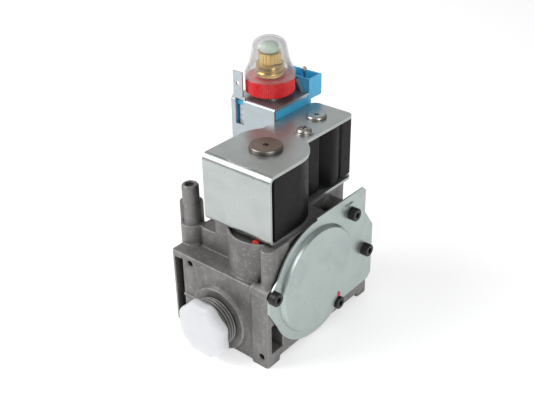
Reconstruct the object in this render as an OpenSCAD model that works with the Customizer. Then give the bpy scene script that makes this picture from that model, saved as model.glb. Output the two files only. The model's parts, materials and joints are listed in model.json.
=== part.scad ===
// Combination gas control for a wall-hung boiler.
// Millimetres. X is across the valve and +X is the diaphragm cover's side, Y runs along the
// gas flow from inlet (-Y) to outlet (+Y), and Z is up. The origin is on the base plane,
// below the inlet axis, midway between the front and rear faces of the casting.

/* [Body casting] */
// Width of the casting
body_w = 65.5; // [64:0.5:67]
// Depth of the casting, front face to rear face
body_d = 84; // [83:0.5:86]
// Height of the ledge around the upper block
ledge_z = 44.7; // [44:0.1:45]
// Height of the upper block, which carries the solenoid bracket
deck_z = 66.5; // [66.5:0.5:67]
// Height of the relief along the lower side edges, between the flanges
foot_h = 3; // [2:0.5:3]

/* [Gas connections] */
// Height of the inlet and outlet axis above the base
port_z = 16.5; // [16.5:0.1:17]
// Crest diameter of the G3/4 pipe thread
thread_d = 26.44; // [26.3:0.02:26.5]
// Pitch of the G3/4 pipe thread
thread_pitch = 1.814; // [1.814]
// Number of thread crests on each connection
thread_crests = 6; // [5:1:6]
// Diameter of the gas passage through a connection
port_bore_d = 20; // [18:0.5:21]
// Outside diameter of the pressure test nipple
nipple_d = 9; // [9]

/* [Solenoids] */
// Top of the solenoid bracket
bracket_top = 103.5; // [103.5:0.5:104.5]
// Sheet thickness of the brackets
sheet_t = 1.5; // [1.4:0.1:1.6]
// Lift of the safety valve
safety_lift = 3; // [2:0.5:3]
// Lift of the pilot valve
pilot_lift = 2.5; // [2:0.5:2.5]

/* [Diaphragm cover] */
// Thickness of the cover plate
cover_t = 1; // [1:0.1:1.2]
// Radius of the cover's dish at its foot
dish_r = 29.1; // [28.5:0.1:29.1]
// How far the dish stands out
dish_h = 2.5; // [2.5:0.5:3]

/* [Modulator] */
// Radius of the red ring nut
ring_r = 13; // [12.5:0.5:13]
// Height of the ring nut
ring_h = 8.4; // [8:0.2:8.4]
// Radius of the transparent cap's rim
cap_rim_r = 13.4; // [13:0.1:13.6]

/* [Hidden] */

round_fn = 96;
small_fn = 48;
tiny = 0.02;

front_y = -body_d / 2;
rear_y = body_d / 2;
side_x = body_w / 2;
flange_d = 8.1;
relief_w = 4.5;

// A helical spring: a round wire swept up +Z from the origin.
function spring_ring(k, steps, coil_r, wire_r, height, turns, sides) =
    let (t = k / steps, a = 360 * turns * t, z = height * t,
         rise = atan2(height, 2 * PI * coil_r * turns))
    [for (s = [0 : sides - 1])
        let (b = 360 * s / sides, out = wire_r * cos(b), up = wire_r * sin(b))
        [(coil_r + out) * cos(a) + up * sin(rise) * sin(a),
         (coil_r + out) * sin(a) - up * sin(rise) * cos(a),
         z + up * cos(rise)]];

module spring(coil_r, wire_r, height, turns, sides = 8, per_turn = 20) {
    steps = round(turns * per_turn);
    points = [for (k = [0 : steps]) each spring_ring(k, steps, coil_r, wire_r, height, turns, sides)];
    walls = [for (k = [0 : steps - 1], s = [0 : sides - 1])
        let (n = (s + 1) % sides)
        [k * sides + s, k * sides + n, (k + 1) * sides + n, (k + 1) * sides + s]];
    first = [[for (s = [sides - 1 : -1 : 0]) s]];
    last = [[for (s = [0 : sides - 1]) steps * sides + s]];
    polyhedron(points, concat(first, walls, last), convexity = 12);
}

// A rectangle centred on the origin with round corners.
module round_rect(w, d, r) {
    square([w - 2 * r, d], center = true);
    square([w, d - 2 * r], center = true);
    for (sx = [-1, 1], sy = [-1, 1])
        translate([sx * (w / 2 - r), sy * (d / 2 - r)]) circle(r, $fn = small_fn);
}

// A ring standing on the XY plane.
module tube(r_out, r_in, h) {
    difference() {
        cylinder(h = h, r = r_out, $fn = round_fn);
        translate([0, 0, -1]) cylinder(h = h + 2, r = r_in, $fn = round_fn);
    }
}

// An O-ring lying in the XY plane.
module o_ring(r_mid, r_cord) {
    rotate_extrude($fn = round_fn) translate([r_mid, 0]) circle(r_cord, $fn = small_fn);
}

// Turns +Z onto +X, +Y or -Y.
module along_x() { rotate([0, 90, 0]) children(); }
module along_y() { rotate([-90, 0, 0]) children(); }
module against_y() { rotate([90, 0, 0]) children(); }

// ---- Axes shared by the parts ----
safety_x = 8.1;
safety_y = -13.2;
pilot_x = 5.2;
pilot_y = 30.5;
main_y = -5.6;
main_z = 35.6;
mod_x = -23;
mod_y = 27.5;
nipple_x = -30;
nipple_y = -28.3;
bolt_x = 11.3;
bolt_y = 12.3;
bolt_foot = 57.5;

module at_safety(z) { translate([safety_x, safety_y, z]) children(); }
module at_pilot(z) { translate([pilot_x, pilot_y, z]) children(); }
module at_main(x) { translate([x, main_y, main_z]) along_x() children(); }
module at_mod(z) { translate([mod_x, mod_y, z]) children(); }

// ---- Connections ----
boss_r = 18;
boss_len = 2.3;
thread_r = thread_d / 2;
thread_root_r = thread_r - 1.162;
thread_len = thread_crests * thread_pitch + 1.6;
crest_land = 0.35;

// Threaded stub standing on the XY plane: boss, then pipe thread cut as parallel grooves.
module threaded_stub() {
    cylinder(h = boss_len, r1 = boss_r, r2 = boss_r - 0.7, $fn = round_fn);
    translate([0, 0, boss_len]) {
        rotate_extrude($fn = round_fn)
            polygon(concat([[0, 0], [thread_root_r, 0]],
                [for (k = [0 : thread_crests - 1])
                    let (z0 = 0.9 + k * thread_pitch, flank = (thread_pitch - crest_land) / 2 - 0.1)
                    each [[thread_root_r, z0], [thread_r, z0 + flank],
                          [thread_r, z0 + flank + crest_land], [thread_root_r, z0 + 2 * flank + crest_land]]],
                [[thread_root_r, thread_len - 0.6], [thread_root_r - 0.6, thread_len], [0, thread_len]]));
    }
}

stub_len = boss_len + thread_len;

module port_stubs() {
    translate([0, front_y, port_z]) against_y() threaded_stub();
    translate([0, rear_y, port_z]) along_y() threaded_stub();
}

// ---- Body casting ----
pillar_step = 1.5;
pillar_x = 21.8;
cover_screw_at = [[23.4, 60.1], [36.5, 31.7], [10.8, 11.8], [-40.4, 43.2]]; // Y, Z
corner_boss_r = 3.7;
flange_hole_r = 1.65;
flange_hole_len = 9;
panel_depth = 0.9;
upper_hole = [-21.3, 39.2]; // X, Z
lower_hole = [28.2, 5.6];
chamber_r = 25.5;
bead_r = 26.7;
chamber_x = 22.5;
rim_x = side_x - 1.5;
main_seat_r = 8;
servo_z = 60;

module lower_block() {
    difference() {
        linear_extrude(ledge_z) round_rect(body_w, body_d, 1.2);
        // The side edges step up between the two flanges
        for (s = [-1, 1])
            translate([s * side_x, 0, 0])
                cube([2 * relief_w, body_d - 2 * flange_d, 2 * foot_h], center = true);
    }
    translate([(pillar_x + side_x) / 2, front_y + flange_d / 2 - pillar_step / 2, 0])
        linear_extrude(ledge_z) round_rect(side_x - pillar_x, flange_d + pillar_step, 1);
    // Screw boss in the front corner, which breaks out above the ledge
    translate([pillar_x, cover_screw_at[3][0], cover_screw_at[3][1]]) along_x()
        cylinder(h = side_x - pillar_x, r = corner_boss_r, $fn = small_fn);
}

front_wall_x = 13;
front_wall_y = -22.2;
front_wall_r = 17.6;
recess_rim = 1.4;
recess_depth = 1.6;

module upper_block_plan() {
    // Round wall of the safety valve's chamber, bulging forwards
    translate([front_wall_x, front_wall_y]) circle(front_wall_r, $fn = round_fn);
    // Main mass, and the lower left shoulder in front of it
    translate([-12, -30]) square([43.2, 38]);
    // Corner pillar
    translate([28.4, -37.2]) circle(3.4, $fn = small_fn);
    translate([25, -37.2]) square([6.8, 12]);
    // Pilot valve's tower
    translate([5.2, 23.5]) round_rect(27, 37, 7);
}

module upper_block() {
    translate([0, 0, ledge_z - 5]) linear_extrude(deck_z - ledge_z + 5) upper_block_plan();
    // Left shoulder, a step lower
    translate([-15.6, -17.5, ledge_z - 5]) linear_extrude(16.3) round_rect(17, 25, 3);
    // Round wall of the diaphragm chamber
    at_main(20) cylinder(h = side_x - 20, r = deck_z - main_z, $fn = round_fn);
    // Bosses behind the cover's two upper screws
    translate([12, cover_screw_at[0][0], cover_screw_at[0][1]]) along_x()
        cylinder(h = side_x - 12, r = 5, $fn = small_fn);
    // Pedestal of the regulator
    at_mod(ledge_z - 5) cylinder(h = servo_z - ledge_z + 5, r = 14, $fn = round_fn);
    translate([mod_x, mod_y - 12, ledge_z - 5]) cube([20, 24, 12]);
}

nipple_top = 78;

module nipple() {
    translate([nipple_x, nipple_y, 0]) {
        translate([0, 0, 30]) cylinder(h = 26, r = 6.2, $fn = small_fn);
        // The boss stands higher behind and to the left of the nipple
        intersection() {
            translate([0, 0, 50]) cylinder(h = 18, r = 6.2, $fn = small_fn);
            rotate([0, 0, 40]) translate([-8, 0, 50]) cube([16, 8, 18]);
        }
        translate([0, 0, 50]) cylinder(h = 20, r = nipple_d / 2 - 0.3, $fn = small_fn);
        // Gauging length, which takes the hose
        translate([0, 0, nipple_top - 10]) cylinder(h = 9, r = nipple_d / 2, $fn = small_fn);
        translate([0, 0, nipple_top - 1])
            cylinder(h = 1, r1 = nipple_d / 2, r2 = nipple_d / 2 - 0.6, $fn = small_fn);
    }
    // Web from the nipple's boss to the shoulder
    translate([nipple_x, nipple_y, 44]) cube([8, 3, 11.5]);
}

// Gas passages, chambers and screw holes
module passages() {
    // Inlet and its riser to the safety valve's chamber
    translate([0, front_y - stub_len - 1, port_z]) along_y()
        cylinder(h = stub_len + 16, r = port_bore_d / 2, $fn = round_fn);
    translate([9, -31.5, port_z]) cylinder(h = 41.5, r = 5, $fn = small_fn);
    translate([4, -33, 52]) cube([10, 14, 6]);
    // Safety valve's chamber, counterbore, seat and outlet
    at_safety(0) {
        difference() {
            translate([0, 0, 50]) cylinder(h = 20, r = 11, $fn = round_fn);
            translate([0, 0, 49]) tube(9, 7.5, 2.2);
        }
        translate([0, 0, 62.3]) cylinder(h = 10, r = 13, $fn = round_fn);
        translate([0, 0, 30]) cylinder(h = 25, r = 7.5, $fn = round_fn);
    }
    translate([-8, -22, 8]) cube([21, 26, 36]);
    // Main valve's seat and the diaphragm chamber
    difference() {
        union() {
            at_main(18) cylinder(h = 10, r = 12.5, $fn = round_fn);
            at_main(chamber_x) cylinder(h = 20, r = chamber_r, $fn = round_fn);
        }
        at_main(17) tube(9.6, main_seat_r, 2.2);
    }
    at_main(10) cylinder(h = 12, r = main_seat_r, $fn = round_fn);
    at_main(rim_x) cylinder(h = 5, r = bead_r, $fn = round_fn);
    // Outlet
    translate([0, 7.5, port_z]) along_y()
        cylinder(h = rear_y + stub_len - 6.5, r = port_bore_d / 2, $fn = round_fn);
    translate([0, 14, 19.5]) along_x() cylinder(h = 27, r = 6.5, $fn = round_fn);
    // Pilot valve's chamber, feed and seat
    at_pilot(0) {
        difference() {
            translate([0, 0, 50]) cylinder(h = 20, r = 7.2, $fn = round_fn);
            translate([0, 0, 49]) tube(3, 2, 2.2);
        }
        translate([0, 0, 62.3]) cylinder(h = 10, r = 9.2, $fn = round_fn);
        translate([0, 0, 42]) cylinder(h = 12, r = 2, $fn = small_fn);
    }
    translate([0, 3, 40]) along_y() cylinder(h = 24, r = 1.5, $fn = small_fn);
    translate([0, 27, 38.6]) cylinder(h = 13, r = 1.5, $fn = small_fn);
    // Pilot gas to the regulator's nozzle
    translate([mod_x, pilot_y, 42]) along_x() cylinder(h = pilot_x - mod_x, r = 1.5, $fn = small_fn);
    at_mod(0) {
        translate([0, 3, 41]) cylinder(h = 14, r = 1.2, $fn = small_fn);
        translate([0, 0, 54]) tube(11.5, 3, 10);
        translate([0, 0, 58]) cylinder(h = 6, r = 11.5, $fn = round_fn);
        translate([0, 0, 48]) cylinder(h = 12, r = 1.2, $fn = small_fn);
        translate([0, 0, 48]) along_y() cylinder(h = 3, r = 1.2, $fn = small_fn);
    }
    // Pressure test nipple
    translate([nipple_x, nipple_y, 44]) cylinder(h = nipple_top, r = 1.1, $fn = small_fn);
    translate([nipple_x, nipple_y, nipple_top - 13]) cylinder(h = 20, r = 2.6, $fn = small_fn);
    // Screw holes
    for (p = cover_screw_at)
        translate([side_x - 9, p[0], p[1]]) along_x() cylinder(h = 12, r = 2, $fn = small_fn);
    translate([bolt_x, bolt_y, 56]) cylinder(h = 20, r = 2, $fn = small_fn);
    for (p = [[upper_hole, -panel_depth], [lower_hole, pillar_step]])
        translate([p[0][0], front_y - p[1], p[0][1]]) {
            along_y() cylinder(h = flange_hole_len + 0.5, r = flange_hole_r, $fn = small_fn);
            translate([0, -1, 0]) along_y() cylinder(h = 1.5, r = 2.6, $fn = small_fn);
        }
    for (a = regulator_screw_angles)
        at_mod(servo_z - 6) rotate([0, 0, a]) translate([12.6, 0, 0])
            cylinder(h = 10, r = 1.1, $fn = small_fn);
}

// Hollows left by the die: outside faces only
module lightening_pockets() {
    // Deep channel and shallow panel on the left of the front face
    translate([-31, front_y - 1, 4.5]) cube([4.6, 13, 36.5]);
    difference() {
        translate([-26.4, front_y - 1, 4.5]) cube([13.5, 1 + panel_depth, 38]);
        translate([-26.4, front_y - 1, 18.2]) cube([9, 1 + panel_depth, 1.4]);
    }
    // Pocket in the right face, in front of the cover
    translate([17, front_y + 2, 7.6]) cube([20, 8.4, 17]);
    // Recess in the deck under the bracket's bend, inside the rim of the round wall
    intersection() {
        translate([front_wall_x, front_wall_y, deck_z - recess_depth])
            cylinder(h = 3, r = front_wall_r - recess_rim, $fn = round_fn);
        translate([-10, -45, deck_z - 2]) cube([50, 45 + bracket_front + bend_r, 4]);
    }
}

module valve_body() {
    color([0.55, 0.54, 0.53])
    difference() {
        union() {
            lower_block();
            upper_block();
            nipple();
            intersection() {
                port_stubs();
                translate([-50, -100, 0]) cube([100, 200, 100]);
            }
        }
        passages();
        lightening_pockets();
    }
}

module inlet_filter() {
    color("gainsboro")
    translate([0, front_y + 2, port_z]) against_y() {
        tube(9.9, 9.5, 12);
        cylinder(h = 0.6, r = 9.9, $fn = round_fn);
        translate([0, 0, 11]) tube(9.95, 8.6, 1.2);
    }
}

// ---- Push-on cap of the inlet ----
inlet_cap_len = 6.5;
inlet_cap_r = 15.6;
inlet_cap_face = 2.6;
lobe_count = 8;
lobe_h = 1.3;
lobe_points = 12;

// Outline of the skirt, with soft grip lobes
module lobed_outline() {
    polygon([for (k = [0 : lobe_count * lobe_points - 1])
        let (a = 360 * k / (lobe_count * lobe_points),
             r = inlet_cap_r + lobe_h * (1 - cos(lobe_count * a)) / 2)
        [r * cos(a), r * sin(a)]]);
}

module inlet_cap() {
    end_y = front_y - stub_len - 1.9;
    color([0.93, 0.93, 0.95])
    translate([0, end_y, port_z]) along_y()
    difference() {
        union() {
            // Closed end with a rounded edge
            rotate_extrude($fn = round_fn)
                polygon([[0, 0], [inlet_cap_r - 3.2, 0], [inlet_cap_r - 1.6, 0.45],
                         [inlet_cap_r - 0.4, 1.6], [inlet_cap_r - 0.4, inlet_cap_face], [0, inlet_cap_face]]);
            translate([0, 0, inlet_cap_face]) linear_extrude(inlet_cap_len - inlet_cap_face) lobed_outline();
        }
        translate([0, 0, 1.6]) cylinder(h = inlet_cap_len, r = thread_r + 0.05, $fn = round_fn);
    }
}

module test_nipple_screw() {
    color("silver")
    translate([nipple_x, nipple_y, nipple_top - 12.9])
    difference() {
        union() {
            cylinder(h = 5, r1 = 0.8, r2 = 2.55, $fn = small_fn);
            translate([0, 0, 5]) cylinder(h = 6, r = 2.55, $fn = small_fn);
        }
        translate([-3, -0.4, 9.6]) cube([6, 0.8, 2]);
    }
}

// ---- Diaphragm cover ----
cover_edge_r = 33.7;
edge_screw = cover_screw_at[2];

// Outline in the plane of the cover: X here is the valve's Y, Y here is the valve's Z.
module cover_outline() {
    translate([main_y, main_z]) circle(cover_edge_r, $fn = round_fn);
    // Rear part, with its raised upper corner
    polygon([[main_y, 70.7], [33.6, 70.7], [36.2, 68.2], [36.2, 55], [44.1, 43.8],
             [44.1, 12.6], [41.4, 9.9], [16, 9.3], [main_y, 20]]);
    // Ear of the front corner screw
    polygon([[-20, 62.5], [-38.4, 48.2], [-43.2, 42.6], [-43.2, 34.4], [-33, 16]]);
}

module diaphragm_cover() {
    color([0.68, 0.73, 0.72])
    difference() {
        union() {
            translate([side_x, 0, 0]) rotate([90, 0, 90]) linear_extrude(cover_t) cover_outline();
            at_main(side_x + tiny) rotate_extrude($fn = round_fn)
                polygon([[0, 0], [dish_r, 0], [dish_r, cover_t + 0.3], [dish_r - 0.6, cover_t + dish_h - 1],
                         [dish_r - 1.4, cover_t + dish_h - 0.25], [dish_r - 2.4, cover_t + dish_h - tiny],
                         [0, cover_t + dish_h - tiny]]);
            // Embossed stiffening tab above the upper screw
            translate([side_x, 21, 65.4]) rotate([90, 0, 90])
                linear_extrude(cover_t + 0.7) round_rect(8, 2.2, 1);
        }
        // Hollow back of the dish, round the screw that sits in the dish's edge
        difference() {
            at_main(side_x - 1) cylinder(h = dish_h + 1, r = dish_r - 3.1, $fn = round_fn);
            translate([side_x - 2, edge_screw[0], edge_screw[1]]) along_x()
                cylinder(h = dish_h + 3, r = 5.1, $fn = small_fn);
        }
        translate([side_x + cover_t, edge_screw[0], edge_screw[1]]) along_x()
            cylinder(h = dish_h + 2, r = 3.9, $fn = small_fn);
        for (p = cover_screw_at)
            translate([side_x - 5, p[0], p[1]]) along_x() cylinder(h = 12, r = 2.1, $fn = small_fn);
    }
}

module socket_screw() {
    difference() {
        union() {
            translate([0, 0, -8]) cylinder(h = 8 + tiny, r = 2, $fn = small_fn);
            cylinder(h = 3.6, r = 3.5, $fn = small_fn);
            translate([0, 0, 3.6]) cylinder(h = 0.4, r1 = 3.5, r2 = 3.1, $fn = small_fn);
        }
        translate([0, 0, 2]) cylinder(h = 3, r = 3 / 2 / cos(30), $fn = 6);
    }
}

module cover_screws() {
    color([0.12, 0.12, 0.12])
    for (p = cover_screw_at)
        translate([side_x + cover_t, p[0], p[1]]) along_x() socket_screw();
}

// ---- Main valve ----
plate_x = 25;
plate_r = 17;
stem_r = 2.5;

module main_diaphragm() {
    color([0.13, 0.13, 0.13])
    at_main(0) rotate_extrude($fn = round_fn)
        polygon([[3, plate_x], [18.6, plate_x], [19.6, plate_x + 0.6], [23.2, rim_x - 0.7], [24.2, rim_x],
                 [bead_r, rim_x], [bead_r, side_x], [26, side_x], [25.4, rim_x + 1], [23.4, rim_x + 1],
                 [22.2, rim_x + 0.4], [18.8, plate_x + 1.5], [18, plate_x + 1], [3, plate_x + 1]]);
}

module diaphragm_plates() {
    color("silver")
    at_main(0) {
        translate([0, 0, plate_x - 1.2]) tube(plate_r, stem_r, 1.2);
        translate([0, 0, plate_x + 1]) tube(plate_r, stem_r, 1);
        translate([0, 0, plate_x + 2]) tube(11, 10.4, 1.2);
    }
}

module main_valve_stem() {
    color("gray")
    at_main(0) {
        translate([0, 0, 21.2]) cylinder(h = plate_x - 21.2 + 3.2, r = stem_r, $fn = small_fn);
        translate([0, 0, 21.2]) cylinder(h = 1.2, r = 10.5, $fn = round_fn);
    }
}

module main_valve_seal() {
    color([0.1, 0.1, 0.1])
    at_main(19.2) tube(10.5, 5, 2);
}

module main_valve_spring() {
    color("darkgray")
    at_main(plate_x + 2.6) spring(9.2, 0.5, side_x + dish_h - plate_x - 3.2, 3);
}

// ---- Solenoid bracket ----
bracket_w = 42;
bracket_front = -35.8;
bend_r = 3.8;
wide_r = bracket_w / 2;
neck_w = 26.5;
neck_end = 45.6;

// Plan of the top and bottom plates behind the bend
module bracket_plan() {
    translate([safety_x - wide_r, bracket_front + bend_r])
        square([bracket_w, safety_y - bracket_front - bend_r]);
    translate([safety_x, safety_y]) circle(wide_r, $fn = round_fn);
    // The round end reaches further back on the left
    intersection() {
        translate([safety_x, safety_y + 3]) circle(wide_r, $fn = round_fn);
        translate([pilot_x - 30, safety_y]) square([30, 30]);
    }
    translate([pilot_x - neck_w / 2, safety_y]) square([neck_w, neck_end - safety_y - 4]);
    translate([pilot_x, neck_end - 8]) round_rect(neck_w, 16, 4);
}

// A sheet bent through two right angles, drawn in the YZ plane.
module bracket_bend() {
    inner_r = bend_r - sheet_t;
    h = bracket_top - deck_z;
    difference() {
        union() {
            translate([bend_r, 0]) square([2, h]);
            translate([0, bend_r]) square([bend_r + 1, h - 2 * bend_r]);
            for (z = [bend_r, h - bend_r]) translate([bend_r, z]) circle(bend_r, $fn = small_fn);
        }
        translate([sheet_t, bend_r]) square([10, h - 2 * bend_r]);
        translate([bend_r, sheet_t]) square([10, h - 2 * sheet_t]);
        for (z = [bend_r, h - bend_r]) translate([bend_r, z]) circle(inner_r, $fn = small_fn);
    }
}

module solenoid_bracket() {
    color([0.76, 0.78, 0.79])
    difference() {
        union() {
            translate([safety_x - wide_r, bracket_front, deck_z])
                rotate([90, 0, 90]) linear_extrude(bracket_w) bracket_bend();
            for (z = [deck_z, bracket_top - sheet_t])
                translate([0, 0, z]) linear_extrude(sheet_t) bracket_plan();
        }
        at_safety(0) {
            translate([0, 0, 60]) cylinder(h = 20, r = 6.7, $fn = round_fn);
            translate([0, 0, 90]) cylinder(h = 20, r = 2.6, $fn = small_fn);
        }
        at_pilot(0) {
            translate([0, 0, 60]) cylinder(h = 20, r = 4.7, $fn = round_fn);
            translate([0, 0, 90]) cylinder(h = 20, r = 2.1, $fn = small_fn);
        }
        translate([bolt_x, bolt_y, 60]) cylinder(h = 50, r = 2.15, $fn = small_fn);
        // Small punched mark beside the screw
        translate([1.6, 5.6, bracket_top - 0.5]) cylinder(h = 1, r = 0.8, $fn = small_fn);
    }
}

// A cross-head screw with a washer face, its head standing on the XY plane.
module bracket_screw() {
    color("gainsboro")
    translate([bolt_x, bolt_y, bracket_top])
    difference() {
        union() {
            translate([0, 0, bolt_foot - bracket_top])
                cylinder(h = bracket_top - bolt_foot + tiny, r = 2, $fn = small_fn);
            cylinder(h = 0.6, r = 4.85, $fn = small_fn);
            rotate_extrude($fn = small_fn)
                polygon([[0, 0.6 - tiny], [3.9, 0.6 - tiny], [3.9, 1.3], [3.3, 2.1], [2.2, 2.6], [0, 2.8]]);
        }
        for (a = [20, 110]) rotate([0, 0, a]) translate([-2, -0.45, 1.3]) cube([4, 0.9, 3]);
    }
}

// ---- Coils ----
coil_floor = deck_z + sheet_t;
coil_top = bracket_top - sheet_t;
coil_h = coil_top - coil_floor;
coil_front = bracket_front + bend_r;

// A spool with two flanges standing on the XY plane.
module spool(r_in, r_tube, r_flange, h) {
    tube(r_tube, r_in, h);
    tube(r_flange, r_in, 1);
    translate([0, 0, h - 1]) tube(r_flange, r_in, 1);
}

module safety_coil() {
    color([0.11, 0.11, 0.11])
    translate([0, 0, coil_floor])
    difference() {
        linear_extrude(coil_h) {
            translate([safety_x, safety_y]) circle(wide_r - 0.5, $fn = round_fn);
            translate([safety_x - wide_r + 0.5, coil_front])
                square([bracket_w - 1, safety_y - coil_front]);
        }
        // Flat front, clear of the bracket's bend
        translate([safety_x - wide_r, coil_front - 5, -1]) cube([bracket_w, 5, coil_h + 2]);
        at_safety(2.5) cylinder(h = coil_h - 5, r = 15, $fn = round_fn);
        at_safety(-1) cylinder(h = coil_h + 2, r = 7, $fn = round_fn);
    }
}

module safety_coil_bobbin() {
    color("ivory") at_safety(coil_floor + 2.5) spool(7, 8.4, 15, coil_h - 5);
}

module safety_coil_winding() {
    color([0.72, 0.4, 0.2]) at_safety(coil_floor + 3.5) tube(14.6, 8.4, coil_h - 7);
}

pilot_coil_r = 12.5;
pilot_cavity_r = 9.6;
plug_y = 41.2;

module pilot_coil() {
    color([0.11, 0.11, 0.11])
    translate([0, 0, coil_floor])
    difference() {
        union() {
            at_pilot(0) cylinder(h = coil_h, r = pilot_coil_r, $fn = round_fn);
            // Connector block behind the coil
            translate([pilot_x, 40, 1.5]) linear_extrude(coil_h - 1.6) round_rect(24.6, 11, 2);
            // Bridge towards the safety coil
            translate([pilot_x, 14.2, 1]) linear_extrude(coil_h - 2) round_rect(21, 11.6, 1.5);
        }
        at_pilot(2.5) cylinder(h = coil_h - 5, r = pilot_cavity_r, $fn = round_fn);
        at_pilot(-1) cylinder(h = coil_h + 2, r = 5, $fn = round_fn);
        translate([bolt_x, bolt_y, -1]) cylinder(h = coil_h + 2, r = 2.4, $fn = small_fn);
        // Socket for the boiler's plug, open to the rear
        translate([pilot_x - 8, plug_y, 6]) cube([16, 6, 16]);
    }
}

// Contact blades in the coils' socket
module coil_contacts() {
    color("silver")
    for (x = [-5, 0, 5])
        translate([pilot_x + x - 0.4, plug_y, coil_floor + 10]) cube([0.8, 3.6, 5]);
}

module pilot_coil_bobbin() {
    color("ivory") at_pilot(coil_floor + 2.5) spool(5, 6, pilot_cavity_r, coil_h - 5);
}

module pilot_coil_winding() {
    color([0.72, 0.4, 0.2]) at_pilot(coil_floor + 3.5) tube(pilot_cavity_r - 0.3, 6, coil_h - 7);
}

// ---- Operators: core tube, fixed core, plunger, seal and spring ----
tube_flange_z = 64.1;
tube_top = 99;
core_foot = 87;
seat_z = 51.2;
seal_t = 2;
o_ring_r = 0.9;

module core_tube(r_in, r_out, r_flange) {
    translate([0, 0, tube_flange_z]) tube(r_flange, r_in, deck_z - tube_flange_z);
    translate([0, 0, tube_flange_z]) tube(r_out, r_in, tube_top - tube_flange_z);
}

module fixed_core(r, r_screw) {
    difference() {
        union() {
            translate([0, 0, core_foot]) cylinder(h = tube_top - core_foot, r = r, $fn = round_fn);
            translate([0, 0, tube_top]) cylinder(h = coil_top - tube_top, r = r + 0.4, $fn = round_fn);
        }
        translate([0, 0, coil_top - 8]) cylinder(h = 10, r = r_screw, $fn = small_fn);
    }
}

// Low cylindrical head with a turned rim and a hexagon socket.
module button_screw(r_head, h_head, r_shank, socket) {
    difference() {
        union() {
            translate([0, 0, -sheet_t - 7]) cylinder(h = sheet_t + 7 + tiny, r = r_shank, $fn = small_fn);
            rotate_extrude($fn = round_fn)
                polygon([[0, 0], [r_head - 0.3, 0], [r_head, 0.3], [r_head, h_head - 0.9],
                         [r_head - 0.35, h_head - 0.3], [r_head - 1, h_head],
                         [r_head - 1.5, h_head - 0.15], [0, h_head - 0.15]]);
        }
        translate([0, 0, h_head - 1.8]) cylinder(h = 3, r = socket / 2 / cos(30), $fn = 6);
    }
}

safety_core_r = 6.1;
plunger_gap = 0.08;

module safety_core_tube() {
    color("goldenrod") at_safety(0) core_tube(safety_core_r, 6.6, 12.9);
}

module safety_fixed_core() {
    color("silver") at_safety(0) fixed_core(safety_core_r, 2.5);
}

module safety_cap_screw() {
    color([0.55, 0.5, 0.47]) at_safety(bracket_top) button_screw(8.3, 2.5, 2.5, 3);
}

module safety_plunger() {
    top = core_foot - safety_lift;
    shoulder = 56;
    color("lightgray") at_safety(0)
    difference() {
        union() {
            translate([0, 0, shoulder])
                cylinder(h = top - shoulder, r = safety_core_r - plunger_gap, $fn = round_fn);
            translate([0, 0, seat_z + seal_t])
                cylinder(h = shoulder - seat_z - seal_t, r = 3, $fn = small_fn);
            translate([0, 0, seat_z + seal_t]) cylinder(h = 1.2, r = 9.8, $fn = round_fn);
        }
        translate([0, 0, top - 10]) cylinder(h = 12, r = 3.6, $fn = small_fn);
    }
}

module safety_valve_seal() {
    color([0.1, 0.1, 0.1]) at_safety(seat_z) cylinder(h = seal_t, r = 9.6, $fn = round_fn);
}

module safety_spring() {
    color("darkgray") at_safety(core_foot - safety_lift - 9.5)
        spring(2.8, 0.4, safety_lift + 9, 8, 6, 16);
}

module safety_tube_o_ring() {
    color([0.1, 0.1, 0.1]) at_safety(tube_flange_z - o_ring_r) o_ring(11.9, o_ring_r);
}

pilot_core_r = 4.1;

module pilot_core_tube() {
    color("goldenrod") at_pilot(0) core_tube(pilot_core_r, 4.6, 9.1);
}

module pilot_fixed_core() {
    color("silver") at_pilot(0) fixed_core(pilot_core_r, 2);
}

module pilot_cap_screw() {
    color("silver") at_pilot(bracket_top) button_screw(5.3, 1.8, 2, 2.5);
}

module pilot_plunger() {
    foot = seat_z + seal_t;
    top = core_foot - pilot_lift;
    color("lightgray") at_pilot(0)
    difference() {
        translate([0, 0, foot]) cylinder(h = top - foot, r = pilot_core_r - plunger_gap, $fn = round_fn);
        translate([0, 0, top - 10]) cylinder(h = 12, r = 2.6, $fn = small_fn);
    }
}

module pilot_valve_seal() {
    color([0.1, 0.1, 0.1]) at_pilot(seat_z) cylinder(h = seal_t, r = 3.8, $fn = round_fn);
}

module pilot_spring() {
    color("darkgray") at_pilot(core_foot - pilot_lift - 9.5)
        spring(1.9, 0.35, pilot_lift + 9, 8, 6, 16);
}

module pilot_tube_o_ring() {
    color([0.1, 0.1, 0.1]) at_pilot(tube_flange_z - o_ring_r) o_ring(8.2, o_ring_r);
}

// ---- Pressure regulator under the modulator ----
regulator_screw_angles = [45, 135, 225, 315];
mod_floor = 72;
mod_side = 29.3;
mod_top = 109.7;
tube_r = 6.8;
tube_in = 5.6;
ring_z = 112.1;
ring_top = ring_z + ring_h;
tube_end = ring_top - 0.2;
armature_z = 86;

module regulator_diaphragm() {
    color([0.13, 0.13, 0.13])
    at_mod(servo_z) difference() {
        cylinder(h = 0.8, r = 14, $fn = round_fn);
        for (a = regulator_screw_angles) rotate([0, 0, a]) translate([12.6, 0, -1])
            cylinder(h = 4, r = 1.15, $fn = small_fn);
    }
}

module regulator_cover() {
    color([0.7, 0.7, 0.68])
    at_mod(servo_z + 0.8) difference() {
        union() {
            cylinder(h = 3, r = 14, $fn = round_fn);
            cylinder(h = mod_floor - servo_z - 0.8, r = 9.5, $fn = round_fn);
        }
        // Room over the diaphragm and round the pushrod
        translate([0, 0, -1]) cylinder(h = 6, r = 8.2, $fn = round_fn);
        translate([0, 0, -1]) cylinder(h = 14, r = 1.7, $fn = small_fn);
        translate([0, 0, 5.2]) cylinder(h = 8, r = tube_r, $fn = round_fn);
        for (a = regulator_screw_angles) rotate([0, 0, a]) translate([12.6, 0, -1])
            cylinder(h = 6, r = 1.15, $fn = small_fn);
    }
}

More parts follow.
